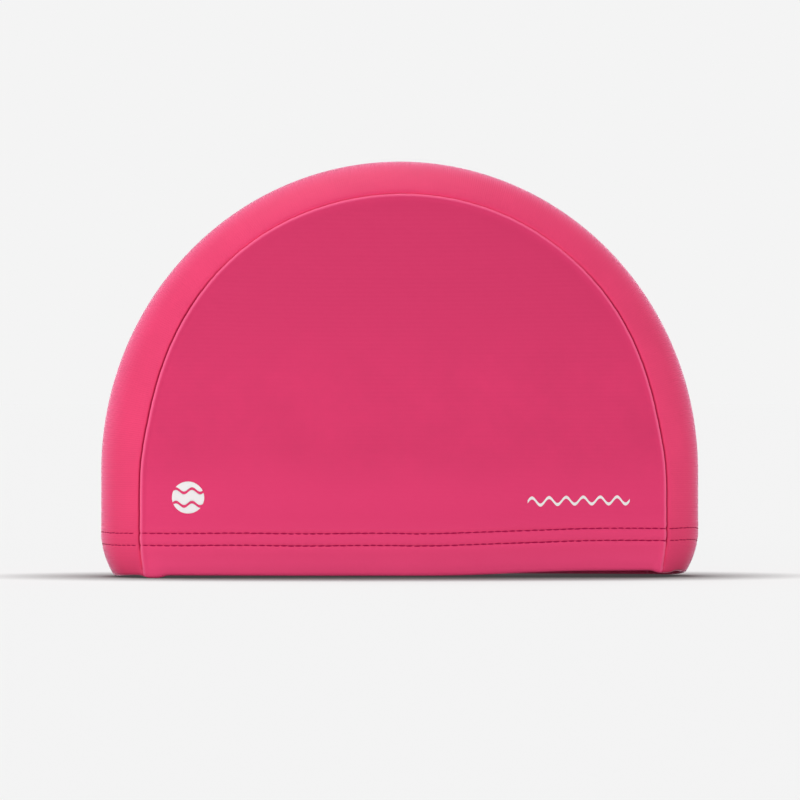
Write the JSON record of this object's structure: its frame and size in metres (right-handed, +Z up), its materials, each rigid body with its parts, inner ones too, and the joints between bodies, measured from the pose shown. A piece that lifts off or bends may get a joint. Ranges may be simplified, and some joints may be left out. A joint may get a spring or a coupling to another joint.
{
  "type": "swim cap",
  "caption": "Stretch-cloth swim cap standing on its rim: two D-shaped side panels, a centre strip over the crown and a turned-up stitched hem.",
  "frame": {"origin": "middle of the rim's footprint, on the surface that the rim stands on", "axes": "+X along the cap from one end of its centre strip to the other, +Y across it from the near side to the far side, +Z up to the crown"},
  "size_m": [0.196, 0.076, 0.136],
  "materials": {
    "panel_cloth": "matt fine knit",
    "strip_cloth": "finely ribbed knit with a soft sheen",
    "seam_cloth": "overlocked cloth edge",
    "thread": "dull polyester sewing thread",
    "print": "thin matt white transfer print"
  },
  "bodies": {
    "root": {"centre_strip": "strip_cloth", "near_side_panel": "panel_cloth", "far_side_panel": "panel_cloth", "near_seam_allowance": "seam_cloth", "far_seam_allowance": "seam_cloth"}
  },
  "joints": []
}
